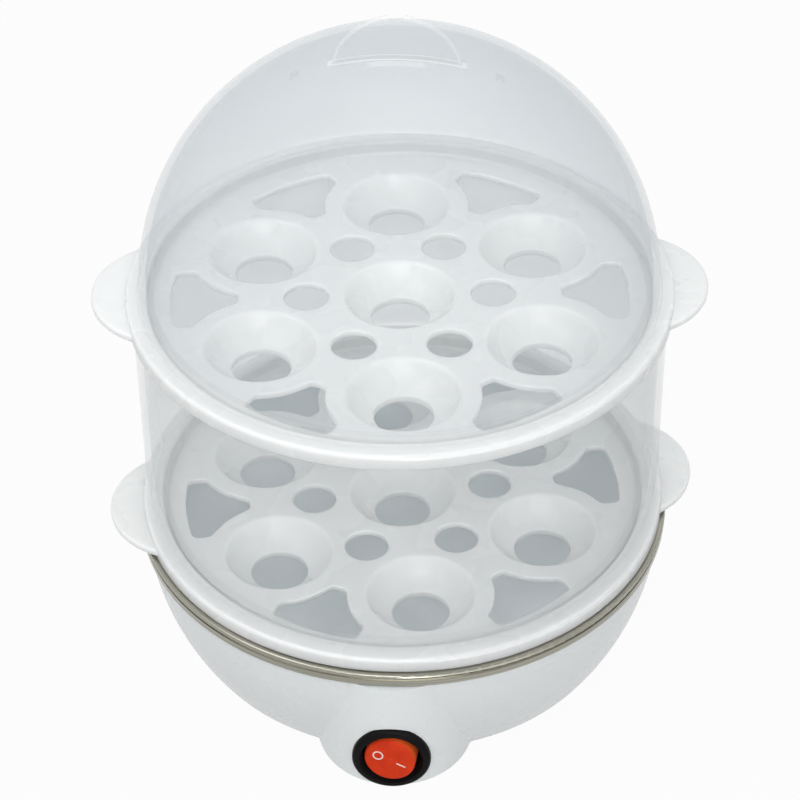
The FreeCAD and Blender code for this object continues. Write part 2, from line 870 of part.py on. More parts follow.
def lamp_solid(grow):
    """Neon lamp along the pivot direction, beside the plunger on the I side."""
    start = V(lamp_offset, -lamp_length / 2 - grow, -rocker_bottom + lamp_radius)
    lamp = cylinder(lamp_radius + grow, start, PIVOT, lamp_length + 2 * grow)
    low = V(lamp_offset - lamp_radius - grow, start.y, -rocker_bottom)
    high = V(lamp_offset + lamp_radius + grow, start.y + lamp_length + 2 * grow, start.z)
    return lamp.fuse(box(low, high)) if grow else lamp


def switch_lamp():
    return on_switch(tilted(lamp_solid(0), -rocker_tilt, pivot_depth))


def switch_plunger():
    """Round-nosed plunger in the rocker's bore."""
    top = -rocker_bottom + plunger_bore_depth - hole_clearance
    nose = -(pivot_depth + plunger_reach)
    pin = cylinder(plunger_radius, V(0, 0, nose), UP, top - nose)
    pin = round_rings(pin, plunger_radius / 2, [(plunger_radius, nose)])
    return on_switch(tilted(pin, -rocker_tilt, pivot_depth))


def contact_arm():
    """Seesaw contact that the plunger tips over the middle blade."""
    depth = arm_pivot_depth()
    low = V(-arm_length / 2, -arm_width / 2, -depth - arm_sheet / 2)
    arm = box(low, V(arm_length / 2, arm_width / 2, -depth + arm_sheet / 2))
    return on_switch(tilted(arm, arm_tilt, depth))


def window_cutter():
    """Rounded drain window between two neighbouring cups, on the +X axis."""
    height = tray_sheet + 2 * cut_margin
    base = tray_under - cut_margin
    reach = window_outer_radius + cut_margin
    blank = box(V(window_tip_radius, -window_half_width, base), V(reach, window_half_width, base + height))
    blank = blank.common(cylinder(window_outer_radius, V(0, 0, base), UP, height))
    for angle in (-180.0 / cup_count, 180.0 / cup_count):
        blank = blank.cut(cylinder(window_side_radius, polar(cup_circle, angle, base), UP, height))
    return blank.makeFillet(window_corner, upright_edges(blank))


def cup_centres():
    return [V(0, 0, 0)] + [polar(cup_circle, angle) for angle in ring_angles(cup_count, cup_first_angle)]


def cup_sphere_height():
    """Height of the seat sphere's centre above the tray plate."""
    return math.sqrt(cup_seat_radius ** 2 - cup_mouth_radius ** 2)


def ear_pair():
    """Two flat finger ears, blended in plan into the skirt and rounded along their edges."""
    top = flange_top - ear_drop
    under = top - ear_sheet
    discs = [cylinder(ear_radius, V(side * ear_centre, 0, under), UP, ear_sheet) for side in (-1, 1)]
    blank = fused([cylinder(tray_rim_radius, V(0, 0, under), UP, ear_sheet)] + discs)
    corners = [e for e in upright_edges(blank) if abs(e.CenterOfMass.y) > ear_edge_round]
    blank = blank.makeFillet(ear_blend, corners)
    blank = blank.makeFillet(ear_edge_round, edges_at_height(blank, top) + edges_at_height(blank, under))
    return blank.cut(cylinder(tray_rim_radius - skirt_wall / 2, V(0, 0, 0), UP, flange_top))


def egg_tray():
    """Egg tray with its cups, drain holes, raised rim and two finger ears."""
    rim = turned([
        (0, tray_under),
        (step_outer_radius, tray_under),
        (step_outer_radius, flange_under),
        (skirt_inner_radius, flange_under),
        (skirt_inner_radius, 0),
        (tray_rim_radius, 0),
        (tray_rim_radius, flange_top),
        (flange_inner_radius, flange_top),
        (flange_inner_radius, tray_top),
        (0, tray_top),
    ])
    tray = fused([rim, ear_pair()])
    tray = round_rings(tray, rim_edge_round, [(tray_rim_radius, flange_top)])
    tray = round_rings(tray, rim_inner_round, [(flange_inner_radius, flange_top)])
    tray = round_rings(tray, plate_root_round, [(flange_inner_radius, tray_top)])

    seat_height = tray_top + cup_sphere_height()
    reach = cup_seat_radius + tray_sheet
    corner = V(tray_rim_radius, tray_rim_radius, tray_top)
    below = box(V(-tray_rim_radius, -tray_rim_radius, tray_top - reach), corner)
    bowls = []
    cutters = []
    for centre in cup_centres():
        middle = centre + V(0, 0, seat_height)
        bowls.append(Part.makeSphere(reach, middle).common(below))
        cutters.append(Part.makeSphere(cup_seat_radius, middle))
        cutters.append(cylinder(cup_hole_radius, middle, DOWN, reach))
    window = window_cutter()
    for angle in ring_angles(cup_count, 0):
        cutters.append(cylinder(drain_radius, polar(drain_circle, angle, tray_under), UP, tray_sheet))
        turned_window = window.copy()
        turned_window.rotate(V(0, 0, 0), UP, angle)
        cutters.append(turned_window)
    tray = tray.fuse(bowls).cut(cutters).removeSplitter()
    tray = tray.makeFillet(cup_lip_round, circles_of(tray, cup_mouth_radius))
    hole_height = seat_height - math.sqrt(cup_seat_radius ** 2 - cup_hole_radius ** 2)
    upper_edges = [e for e in circles_of(tray, cup_hole_radius) if abs(e.CenterOfMass.z - hole_height) < 0.01]
    tray = tray.makeFillet(hole_edge_round, upper_edges)
    mouth_length = 2 * math.pi * cup_mouth_radius
    holes = [e for e in edges_at_height(tray, tray_top) if e.Length < mouth_length]
    return tray.makeFillet(hole_edge_round, holes)


def placed_tray(z, turn):
    tray = egg_tray()
    tray.rotate(V(0, 0, 0), UP, turn)
    tray.translate(V(0, 0, z))
    return tray


def shoulder_steps():
    """Outline of the spigot and shoulder, from the inner wall down and out to the shoulder's edge."""
    return [
        (spigot_radius - spigot_wall, shoulder_height),
        (spigot_radius - spigot_wall, -spigot_depth),
        (spigot_radius, -spigot_depth),
        (spigot_radius, 0),
        (shoulder_radius, 0),
    ]


def tier_ring():
    """Clear wall between the trays, flared in to its shoulder."""
    inner = tier_radius - clear_wall
    spread = tier_radius - shoulder_radius
    flare = (tier_flare_height ** 2 + spread ** 2) / (2 * spread)
    half = tier_flare_height / 2
    bulge = flare - math.sqrt(flare ** 2 - half ** 2)
    inner_half = (tier_flare_height - shoulder_height) / 2
    inner_bulge = flare - math.sqrt(flare ** 2 - inner_half ** 2)
    inner_bottom = inner - flare + math.sqrt(flare ** 2 - (tier_flare_height - shoulder_height) ** 2)
    wall = turned(shoulder_steps() + [
        (tier_radius, tier_flare_height, tier_radius - bulge, half),
        (tier_radius, tier_height),
        (inner, tier_height),
        (inner, tier_flare_height),
        (inner_bottom, shoulder_height, inner - inner_bulge, shoulder_height + inner_half),
    ])
    rings = [(tier_radius, tier_height), (inner, tier_height), (shoulder_radius, 0)]
    wall = round_rings(wall, clear_edge_round, rings)
    wall.translate(V(0, 0, tier_z))
    return wall


def lid_dome():
    """Domed lid with a finger fin on top and two steam vents."""
    inner = dome_radius - clear_wall
    diagonal = math.sqrt(0.5)
    edge_r = math.sqrt(dome_radius ** 2 - shoulder_height ** 2)
    inner_r = math.sqrt(inner ** 2 - shoulder_height ** 2)
    shell = turned(shoulder_steps() + [
        (shoulder_radius, shoulder_height / 2),
        (edge_r, shoulder_height),
        (0, dome_radius, dome_radius * diagonal, dome_radius * diagonal),
        (0, inner),
        (inner_r, shoulder_height, inner * diagonal, inner * diagonal),
    ])
    lid = round_rings(shell, clear_edge_round, [(shoulder_radius, 0)]).fuse(lid_fin())
    for side in (-1, 1):
        lid = lid.cut(cylinder(vent_radius, V(side * vent_offset, 0, dome_radius / 2), UP, dome_radius))
    lid.translate(V(0, 0, lid_z))
    return lid


def lid_fin():
    """Upright half disc across the top of the dome, notched in the middle."""
    fin_radius = ((fin_width / 2) ** 2 + fin_height ** 2) / (2 * fin_height)
    centre = V(0, -fin_sheet / 2, dome_radius + fin_height - fin_radius)
    disc = cylinder(fin_radius, centre, BACK, fin_sheet)
    disc = disc.makeFillet(fin_edge_round, disc.Edges[:1] + disc.Edges[2:])
    disc = disc.cut(Part.makeSphere(dome_radius - clear_wall / 2))
    notch_low = V(-notch_width / 2, -fin_sheet, dome_radius + fin_height - notch_depth)
    return disc.cut(box(notch_low, V(notch_width / 2, fin_sheet, dome_radius + 2 * fin_height)))


def block_bore(place):
    """Front end of one of the terminal block's bores."""
    return V(block_x + place * block_pitch, block_y - block_width / 2, cover_top + block_height / 2)


def terminal_block():
    """Moulded block with three through bores, on the cover."""
    low = V(block_x - block_length / 2, block_y - block_width / 2, cover_top)
    block = box(low, low + V(block_length, block_width, block_height))
    for place in (-1, 0, 1):
        bore = cylinder(lead_radius + running_clearance, block_bore(place), BACK, block_width)
        block = block.cut(bore)
    return block


def rounded_path(points):
    """Wire of straight runs joined by the largest tangent arcs that the runs leave room for."""
    edges = []
    here = points[0]
    for before, corner, after in zip(points, points[1:], points[2:]):
        back = before - corner
        on = after - corner
        trim = lead_bend_share * min(back.Length, on.Length)
        back.normalize()
        on.normalize()
        start = corner + back * trim
        end = corner + on * trim
        half_turn = (math.pi - back.getAngle(on)) / 2
        radius = trim / math.tan(half_turn)
        bisector = back + on
        bisector.normalize()
        middle = corner + bisector * (radius / math.cos(half_turn) - radius)
        edges.append(Part.LineSegment(here, start).toShape())
        edges.append(Part.Arc(start, middle, end).toShape())
        here = end
    edges.append(Part.LineSegment(here, points[-1]).toShape())
    return Part.Wire(edges)


def lead(start, route, end):
    """Insulated lead between two terminals, each given as its tip and the point straight off it."""
    points = [start[0], start[1]] + [V(point) for point in route] + [end[1], end[0]]
    section = Part.Wire([Part.Circle(points[0], points[1] - points[0], lead_radius).toShape()])
    return rounded_path(points).makePipeShell([section], True, True)


def switch_terminal(u):
    """Back end of a switch blade, in the cooker's frame."""
    tip = switch_placement().multVec(V(u, 0, -barrel_depth - switch_blade_length))
    return tip, tip + V(0, lead_run, 0)


def thermostat_terminal(side):
    tip = V(thermostat_offset, side * blade_reach, thermostat_bottom() - blade_sheet / 2)
    return tip, tip + V(0, side * lead_run, 0)


def fuse_terminal(side):
    tip = V(-fuse_offset, side * (fuse_length / 2 + fuse_wire_length), plate_under - fuse_radius)
    return tip, tip + V(0, side * lead_run, 0)


def pin_terminal(number):
    point, direction = element_ends()[number]
    return point + direction * pin_length, point + direction * (pin_length + pin_lead_run)


def block_terminal(place):
    return block_bore(place) + V(0, block_insert, 0), block_bore(place) - V(0, lead_run, 0)


def write(node, shape):
    shape.exportStep("parts/" + node + ".step")


def main():
    os.makedirs("parts", exist_ok=True)
    write("base_housing", base_housing())
    write("bottom_cover", bottom_cover())
    write("cover_screws", cover_screws())
    for number, angle in enumerate(ring_angles(foot_count, foot_first_angle), 1):
        write("foot_%d" % number, foot(angle))
    write("cord_gland", cord_gland())
    write("cord_clamp", cord_clamp())
    write("clamp_screws", clamp_screws())
    write("terminal_block", terminal_block())
    write("lead_live", lead(block_terminal(1), live_route, switch_terminal(0)))
    contact_blade = switch_terminal(-switch_blade_pitch)
    write("lead_switched", lead(contact_blade, switched_route, thermostat_terminal(-1)))
    write("lead_heater", lead(pin_terminal(0), heater_route, thermostat_terminal(1)))
    write("lead_fuse", lead(pin_terminal(1), fuse_route, fuse_terminal(1)))
    write("lead_return", lead(fuse_terminal(-1), return_route, block_terminal(0)))
    write("heating_pan", heating_pan())
    write("rim_gasket", rim_gasket())
    write("heating_plate", heating_plate())
    write("heating_element", element_tube(element_radius))
    write("element_pins", element_pins())
    write("pan_studs", pan_studs())
    write("stud_washers", stud_washers())
    write("stud_nuts", stud_nuts())
    write("thermostat_body", thermostat_body())
    write("thermostat_blades", thermostat_blades())
    write("thermostat_strap", thermostat_strap())
    write("thermal_fuse", thermal_fuse())
    write("fuse_clip", fuse_clip())
    write("fuse_rivets", fuse_rivets())
    write("switch_body", switch_body())
    write("switch_blades", switch_blades())
    write("switch_rocker", switch_rocker())
    write("switch_lamp", switch_lamp())
    write("switch_plunger", switch_plunger())
    write("contact_arm", contact_arm())
    write("lower_egg_tray", placed_tray(lower_tray_z, lower_tray_turn))
    write("tier_ring", tier_ring())
    write("upper_egg_tray", placed_tray(upper_tray_z, upper_tray_turn))
    write("lid_dome", lid_dome())


main()
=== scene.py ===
"""Looks of the two tier egg cooker: finishes, switch marks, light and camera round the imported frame."""

import math

import bmesh
import bpy
from mathutils import Matrix, Vector


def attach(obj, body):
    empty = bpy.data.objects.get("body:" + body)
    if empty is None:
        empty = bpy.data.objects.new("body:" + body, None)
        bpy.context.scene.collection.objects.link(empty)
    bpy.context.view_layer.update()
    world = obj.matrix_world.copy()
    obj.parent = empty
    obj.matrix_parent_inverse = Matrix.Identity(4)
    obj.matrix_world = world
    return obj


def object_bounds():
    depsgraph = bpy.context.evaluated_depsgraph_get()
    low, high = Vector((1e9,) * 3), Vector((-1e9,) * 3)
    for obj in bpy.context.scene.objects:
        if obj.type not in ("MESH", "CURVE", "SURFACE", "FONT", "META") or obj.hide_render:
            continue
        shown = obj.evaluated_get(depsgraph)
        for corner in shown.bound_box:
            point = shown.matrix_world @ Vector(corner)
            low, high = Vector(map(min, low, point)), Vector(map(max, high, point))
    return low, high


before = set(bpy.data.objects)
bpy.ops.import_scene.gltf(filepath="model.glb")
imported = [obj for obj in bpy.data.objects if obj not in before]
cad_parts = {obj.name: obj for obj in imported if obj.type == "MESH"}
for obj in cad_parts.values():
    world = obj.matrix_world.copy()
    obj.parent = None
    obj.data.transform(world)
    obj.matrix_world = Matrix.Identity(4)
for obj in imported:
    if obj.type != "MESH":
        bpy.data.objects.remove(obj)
cad_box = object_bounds()

MM = 0.001

# The photograph's view.
CAMERA_LENS = 120.6
CAMERA_SENSOR = 36.0
CAMERA_AZIMUTH = 2.97
CAMERA_ELEVATION = 38.79
CAMERA_ROLL = -0.76
CAMERA_DISTANCE = 0.7983
CAMERA_CLIP = (0.01, 50.0)
CAMERA_TARGET = Vector((-0.00037, -0.00002, 0.0821))

# Studio.
AMBIENT = 0.56
FLOOR_SIDE = 8.0
FLOOR_GREY = 0.42
FLOOR_GLOW = 0.96
FLOOR_GAP = 0.05 * MM
SKY_TINT = (0.97, 0.985, 1.0, 1.0)
WHITE = (1.0, 1.0, 1.0, 1.0)

# Lamps: name, place, size of the panel in metres, and power in watts.
LAMP_AIM = (0.0, 0.0, 0.1)
LAMPS = [
    ("key", (-0.75, -0.45, 1.25), (0.8, 0.8), 4.5),
    ("front", (0.1, -1.25, 1.1), (0.9, 0.6), 8.5),
    ("low", (0.0, -1.6, 0.42), (1.6, 0.4), 4.0),
    ("fill", (1.0, -0.7, 0.8), (0.9, 0.9), 1.5),
    ("top", (0.1, 0.5, 1.4), (1.0, 0.6), 3.2),
]

# Finishes: the span of a noise texture's values that they use, and the index of the hard plastics.
NOISE_SPAN = (0.3, 0.7)
PLASTIC_IOR = 1.49

# Clear pieces: the run from front to back over which their haze grows as a painted shade on their backs,
# its drift, the denser look edge on, and the heights under which the seated rims turn clearer.
SHADE_HAZE_RUN = (-25.0 * MM, 60.0 * MM)
HAZE_DRIFT = 0.02
EDGE_HAZE = 0.24
EDGE_BLEND = 0.35
LID_RIM = 127.5 * MM
TIER_RIM = 52.5 * MM
RIM_FADE = 2.0 * MM
RIM_HAZE = 0.08

# Lid's fin: the dome's centre, the distances from it over which the shell ends and the fin begins,
# the middle and edge of the fin's arc, the line along its root, and the haze and painted highlight lines on
# it.
DOME_CENTRE = Vector((0.0, 0.0, 126.1)) * MM
FIN_BAND = (74.9 * MM, 75.4 * MM)
FIN_CENTRE = Vector((0.0, 0.0, 195.95)) * MM
FIN_EDGE = (17.0 * MM, 17.4 * MM)
FIN_ROOT = (1.3 * MM, 1.7 * MM)
FIN_FOOT = (198.2 * MM, 198.6 * MM)
FIN_HAZE = 0.35
FIN_HIGHLIGHT_ALPHA = 0.2
FIN_HIGHLIGHT_TINT = (0.90, 0.91, 0.91)

# Pan: radii over which the satin inside, painted paler and bluer than steel as painted light in the shade
# under the trays, gives way to the brushed band round the rim.
BAND_RADII = (77.0 * MM, 78.6 * MM)

# Switch frame: seat point, roll of the switch about its own axis, rest tilt of the rocker.
SWITCH_SEAT = Vector((0.0, -80.6, 14.4)) * MM
SWITCH_ROLL = math.radians(22.0)
ROCKER_TILT = math.radians(-9.0)
ROCKER_PIVOT_DEPTH = 1.5 * MM
ROCKER_FACE = 2.2 * MM
# Depths under the rocker face over which its side wall turns to a painted orange glow of light shining
# through.
ROCKER_GLOW_SIDE = (-0.8 * MM, -0.3 * MM)
MARK_OFFSET = 3.65 * MM
MARK_STROKE = 0.42 * MM
MARK_HEIGHT = 0.05 * MM
MARK_SINK = 0.03 * MM
MARK_EASE = 0.6
RING_RADIUS = 1.6 * MM
BAR_LENGTH = 2.9 * MM


def switch_axes():
    along = Vector((math.cos(SWITCH_ROLL), 0.0, -math.sin(SWITCH_ROLL)))
    across = Vector((math.sin(SWITCH_ROLL), 0.0, math.cos(SWITCH_ROLL)))
    return along, across, Vector((0.0, -1.0, 0.0))


def rocker_place():
    """Matrix from the rocker face's own plane to the part's frame, with the rest tilt."""
    along, across, out = switch_axes()
    pivot = SWITCH_SEAT - out * ROCKER_PIVOT_DEPTH
    flat = Matrix((along, across, out)).transposed().to_4x4()
    flat.translation = SWITCH_SEAT + out * ROCKER_FACE
    tilt = Matrix.Rotation(ROCKER_TILT, 4, across)
    return Matrix.Translation(pivot) @ tilt @ Matrix.Translation(-pivot) @ flat


class Paint:
    """A material built from nodes, with short names for the steps that the finishes share."""

    def __init__(self, name):
        self.material = bpy.data.materials.new(name)
        self.material.use_nodes = True
        self.tree = self.material.node_tree
        self.tree.nodes.clear()
        self.output = self.add("ShaderNodeOutputMaterial")
        self.shader = self.add("ShaderNodeBsdfPrincipled")
        self.link(self.shader.outputs["BSDF"], self.output.inputs["Surface"])
        self.place = self.add("ShaderNodeTexCoord").outputs["Object"]

    def add(self, kind, **settings):
        node = self.tree.nodes.new(kind)
        for key, value in settings.items():
            setattr(node, key, value)
        return node

    def link(self, source, target):
        self.tree.links.new(source, target)

    def feed(self, socket, value):
        """Links a socket, or sets a plain value on it."""
        if isinstance(value, bpy.types.NodeSocket):
            self.link(value, socket)
        else:
            socket.default_value = value

    def set(self, **values):
        """Sets the shader's inputs; an underscore stands for a space."""
        for key, value in values.items():
            self.feed(self.shader.inputs[key.replace("_", " ")], value)

    def math(self, operation, a, b=0.0, clamp=False):
        node = self.add("ShaderNodeMath", operation=operation, use_clamp=clamp)
        self.feed(node.inputs[0], a)
        self.feed(node.inputs[1], b)
        return node.outputs[0]

    def stretched(self, scale, place=None):
        node = self.add("ShaderNodeVectorMath", operation="MULTIPLY")
        self.link(place or self.place, node.inputs[0])
        node.inputs[1].default_value = scale
        return node.outputs[0]

    def round_place(self):
        """Coordinates that run with the turning of the part: radius, height and angle."""
        split = self.add("ShaderNodeSeparateXYZ")
        self.link(self.place, split.inputs[0])
        x, y, z = split.outputs
        flat = self.add("ShaderNodeCombineXYZ")
        self.link(x, flat.inputs[0])
        self.link(y, flat.inputs[1])
        radius = self.add("ShaderNodeVectorMath", operation="LENGTH")
        self.link(flat.outputs[0], radius.inputs[0])
        join = self.add("ShaderNodeCombineXYZ")
        self.link(radius.outputs["Value"], join.inputs[0])
        self.link(z, join.inputs[1])
        self.link(self.math("ARCTAN2", y, x), join.inputs[2])
        return join.outputs[0]

    def noise(self, scale, detail=2.0, place=None, roughness=0.5):
        node = self.add("ShaderNodeTexNoise")
        self.link(place or self.place, node.inputs["Vector"])
        node.inputs["Scale"].default_value = scale
        node.inputs["Detail"].default_value = detail
        node.inputs["Roughness"].default_value = roughness
        return node.outputs["Fac"]

    def reach(self, centre, place=None):
        """Distance from a point of the part."""
        node = self.add("ShaderNodeVectorMath", operation="DISTANCE")
        self.link(place or self.place, node.inputs[0])
        node.inputs[1].default_value = centre
        return node.outputs["Value"]

    def above(self, place):
        """Height over the plane of a placement, along its third axis."""
        off = self.add("ShaderNodeVectorMath", operation="SUBTRACT")
        self.link(self.place, off.inputs[0])
        off.inputs[1].default_value = place.translation
        along = self.add("ShaderNodeVectorMath", operation="DOT_PRODUCT")
        self.link(off.outputs[0], along.inputs[0])
        along.inputs[1].default_value = place.to_3x3().col[2]
        return along.outputs["Value"]

    def ranged(self, value, low, high, to_low, to_high):
        node = self.add("ShaderNodeMapRange")
        self.link(value, node.inputs["Value"])
        for key, number in zip(("From Min", "From Max", "To Min", "To Max"), (low, high, to_low, to_high)):
            node.inputs[key].default_value = number
        return node.outputs["Result"]

    def blended(self, share, first, second):
        node = self.add("ShaderNodeMix", data_type="RGBA")
        self.feed(node.inputs[0], share)
        for socket, value in ((node.inputs[6], first), (node.inputs[7], second)):
            self.feed(socket, value if isinstance(value, bpy.types.NodeSocket) else (*value, 1.0))
        return node.outputs[2]

    def bump(self, height, strength, depth):
        node = self.add("ShaderNodeBump")
        node.inputs["Strength"].default_value = strength
        node.inputs["Distance"].default_value = depth
        self.link(height, node.inputs["Height"])
        return node.outputs["Normal"]

    def facing(self, blend):
        node = self.add("ShaderNodeLayerWeight")
        node.inputs["Blend"].default_value = blend
        return node.outputs["Facing"]


def scratches(paint, scale, stretch, low, high):
    """Thin sparse lines, 1 on a scratch and 0 off it."""
    lines = paint.noise(scale, 3.0, paint.stretched(stretch), 0.6)
    return paint.ranged(lines, low, high, 0.0, 1.0)


def moulded_white(name, dark, pale, gloss, depth):
    """Smooth white moulding: depth is the share of light that goes into it and comes out again."""
    paint = Paint(name)
    cloud = paint.ranged(paint.noise(22.0, 3.0), *NOISE_SPAN, 0.0, 1.0)
    peel = paint.noise(240.0, 1.0)
    worn = scratches(paint, 60.0, (1.0, 14.0, 9.0), 0.72, 0.80)
    rough = paint.ranged(paint.noise(60.0, 2.0), *NOISE_SPAN, gloss - 0.02, gloss + 0.03)
    paint.set(
        Base_Color=paint.blended(cloud, dark, pale),
        Roughness=paint.math("ADD", rough, paint.math("MULTIPLY", worn, 0.05)),
        IOR=PLASTIC_IOR,
        Subsurface_Weight=depth,
        Subsurface_Radius=(1.0, 0.98, 0.95),
        Subsurface_Scale=5.0 * MM,
        Normal=paint.bump(peel, 0.05, 0.03 * MM),
    )
    return paint.material


def fin_highlight_lines(paint, x, y, z):
    """How far a point lies on the lid's fin, and the painted highlight lines along the fin's arc and root.
    """
    fin = paint.ranged(paint.reach(DOME_CENTRE), *FIN_BAND, 0.0, 1.0)
    shell = paint.ranged(fin, 0.0, 1.0, 1.0, 0.0)
    root = paint.math("MULTIPLY", shell, paint.ranged(z, *FIN_FOOT, 0.0, 1.0))
    root = paint.math("MULTIPLY", root, paint.ranged(paint.math("ABSOLUTE", y), *FIN_ROOT, 1.0, 0.0))
    flat = paint.add("ShaderNodeCombineXYZ")
    paint.link(x, flat.inputs[0])
    paint.link(z, flat.inputs[2])
    edge = paint.ranged(paint.reach(FIN_CENTRE, flat.outputs[0]), *FIN_EDGE, 0.0, 1.0)
    arc = paint.math("MULTIPLY", fin, edge)
    return fin, paint.math("MAXIMUM", root, arc)


def milky_clear(name, front, back, rim, dark, pale, finned=False):
    """Translucent moulding, hazier at its back than at its front and its rim; the extra haze at the back is
    painted shade.
    """
    paint = Paint(name)
    cloud = paint.ranged(paint.noise(16.0, 3.0), *NOISE_SPAN, 0.0, 1.0)
    peel = paint.noise(160.0, 1.0)
    worn = scratches(paint, 34.0, (9.0, 11.0, 0.9), 0.71, 0.77)
    split = paint.add("ShaderNodeSeparateXYZ")
    paint.link(paint.place, split.inputs[0])
    x, y, z = split.outputs
    drift = paint.ranged(cloud, 0.0, 1.0, -HAZE_DRIFT, HAZE_DRIFT)
    # The haze growing from front to back is painted shade that greys the backs.
    haze = paint.math("ADD", paint.ranged(y, *SHADE_HAZE_RUN, front, back), drift)
    dense = paint.math("ADD", haze, paint.math("MULTIPLY", paint.facing(EDGE_BLEND), EDGE_HAZE))
    dense = paint.math("MULTIPLY", dense, paint.ranged(z, rim, rim + RIM_FADE, RIM_HAZE, 1.0))
    colour = paint.blended(cloud, dark, pale)
    if finned:
        # light carries the painted highlight lines on the fin's arc and root.
        fin, light = fin_highlight_lines(paint, x, y, z)
        dense = paint.math("MULTIPLY", dense, paint.ranged(fin, 0.0, 1.0, 1.0, FIN_HAZE))
        dense = paint.math("ADD", dense, paint.math("MULTIPLY", light, FIN_HIGHLIGHT_ALPHA))
        colour = paint.blended(light, colour, FIN_HIGHLIGHT_TINT)
    rough = paint.ranged(peel, *NOISE_SPAN, 0.14, 0.18)
    paint.set(
        Base_Color=colour,
        Roughness=paint.math("ADD", rough, paint.math("MULTIPLY", worn, 0.2)),
        IOR=PLASTIC_IOR,
        Specular_IOR_Level=0.25,
        Alpha=paint.math("ADD", dense, paint.math("MULTIPLY", worn, 0.03), clamp=True),
        Normal=paint.bump(peel, 0.05, 0.04 * MM),
    )
    return paint.material


def pan_steel(name):
    """Satin inside, painted paler and bluer than the steel as painted light on the pan in the trays' shade,
    and a darker brushed band round the rolled rim.
    """
    paint = Paint(name)
    turned = paint.round_place()
    line = paint.noise(1.0, 3.0, paint.stretched((2600.0, 2600.0, 1.6), turned), 0.6)
    smear = paint.noise(26.0, 3.0)
    split = paint.add("ShaderNodeSeparateXYZ")
    paint.link(turned, split.inputs[0])
    band = paint.ranged(split.outputs[0], *BAND_RADII, 0.0, 1.0)
    tone = paint.ranged(line, 0.25, 0.75, 0.0, 1.0)
    cloud = paint.ranged(smear, *NOISE_SPAN, 0.0, 1.0)
    # The satin's pale blue-white is painted light, lifting the shade on the pan under the trays.
    lit_satin = paint.blended(cloud, (0.85, 0.90, 0.93), (0.90, 0.945, 0.97))
    brushed = paint.blended(tone, (0.20, 0.195, 0.16), (0.46, 0.45, 0.39))
    paint.set(
        Base_Color=paint.blended(band, lit_satin, brushed),
        Metallic=1.0,
        Roughness=paint.math(
            "SUBTRACT",
            paint.ranged(line, *NOISE_SPAN, 0.50, 0.58),
            paint.math("MULTIPLY", band, 0.30),
        ),
        Normal=paint.bump(line, 0.06, 0.02 * MM),
    )
    return paint.material


def plain_metal(name, dark, pale, rough, grain):
    paint = Paint(name)
    cloud = paint.noise(grain, 4.0)
    fine = paint.noise(grain * 14.0, 2.0)
    paint.set(
        Base_Color=paint.blended(paint.ranged(cloud, *NOISE_SPAN, 0.0, 1.0), dark, pale),
        Metallic=1.0,
        Roughness=paint.ranged(fine, *NOISE_SPAN, rough - 0.06, rough + 0.08),
        Normal=paint.bump(fine, 0.15, 0.02 * MM),
    )
    return paint.material


def dull_surface(name, dark, pale, rough, grain, depth):
    """Rubber, silicone, nylon and the other unpolished mouldings."""
    paint = Paint(name)
    cloud = paint.noise(grain * 0.12, 3.0)
    fine = paint.noise(grain, 3.0)
    paint.set(
        Base_Color=paint.blended(paint.ranged(cloud, *NOISE_SPAN, 0.0, 1.0), dark, pale),
        Roughness=paint.ranged(fine, *NOISE_SPAN, rough - 0.08, rough + 0.06),
        Normal=paint.bump(fine, 0.25, depth),
    )
    return paint.material


def black_gloss(name):
    paint = Paint(name)
    cloud = paint.noise(120.0, 3.0)
    spark = paint.noise(2600.0, 2.0)
    worn = scratches(paint, 160.0, (1.0, 8.0, 6.0), 0.70, 0.78)
    tone = paint.ranged(cloud, *NOISE_SPAN, 0.0, 1.0)
    rough = paint.ranged(spark, *NOISE_SPAN, 0.24, 0.34)
    paint.set(
        Base_Color=paint.blended(tone, (0.005, 0.005, 0.005), (0.009, 0.0086, 0.0084)),
        Roughness=paint.math("ADD", rough, paint.math("MULTIPLY", worn, 0.12)),
        Specular_IOR_Level=0.04,
        Normal=paint.bump(spark, 0.14, 0.02 * MM),
    )
    return paint.material


def red_clear(name):
    paint = Paint(name)
    cloud = paint.noise(240.0, 3.0)
    spark = paint.noise(2200.0, 2.0)
    # The side wall's bright orange is a painted glow of light shining through the red plastic.
    side = paint.ranged(paint.above(rocker_place()), *ROCKER_GLOW_SIDE, 1.0, 0.0)
    tone = paint.ranged(cloud, *NOISE_SPAN, 0.0, 1.0)
    face = paint.blended(tone, (0.56, 0.034, 0.010), (0.66, 0.052, 0.014))
    paint.set(
        Base_Color=paint.blended(side, face, (0.95, 0.14, 0.025)),
        Roughness=paint.ranged(spark, *NOISE_SPAN, 0.22, 0.30),
        Specular_IOR_Level=0.04,
        Subsurface_Weight=0.45,
        Subsurface_Radius=(1.0, 0.30, 0.12),
        Subsurface_Scale=1.6 * MM,
        Normal=paint.bump(spark, 0.10, 0.02 * MM),
    )
    return paint.material


def mark_ink(name):
    paint = Paint(name)
    grain = paint.noise(4200.0, 3.0)
    tone = paint.ranged(grain, 0.35, 0.7, 0.0, 1.0)
    paint.set(
        Base_Color=paint.blended(tone, (0.80, 0.62, 0.58), (0.86, 0.74, 0.71)),
        Roughness=paint.ranged(grain, *NOISE_SPAN, 0.45, 0.6),
        Normal=paint.bump(grain, 0.2, 0.01 * MM),
    )
    return paint.material


def bulb_glass(name):
    paint = Paint(name)
    cloud = paint.noise(900.0, 2.0)
    paint.set(
        Base_Color=paint.blended(cloud, (0.92, 0.74, 0.62), (0.96, 0.84, 0.76)),
        Roughness=paint.ranged(cloud, *NOISE_SPAN, 0.03, 0.08),
        Transmission_Weight=0.9,
    )
    return paint.material
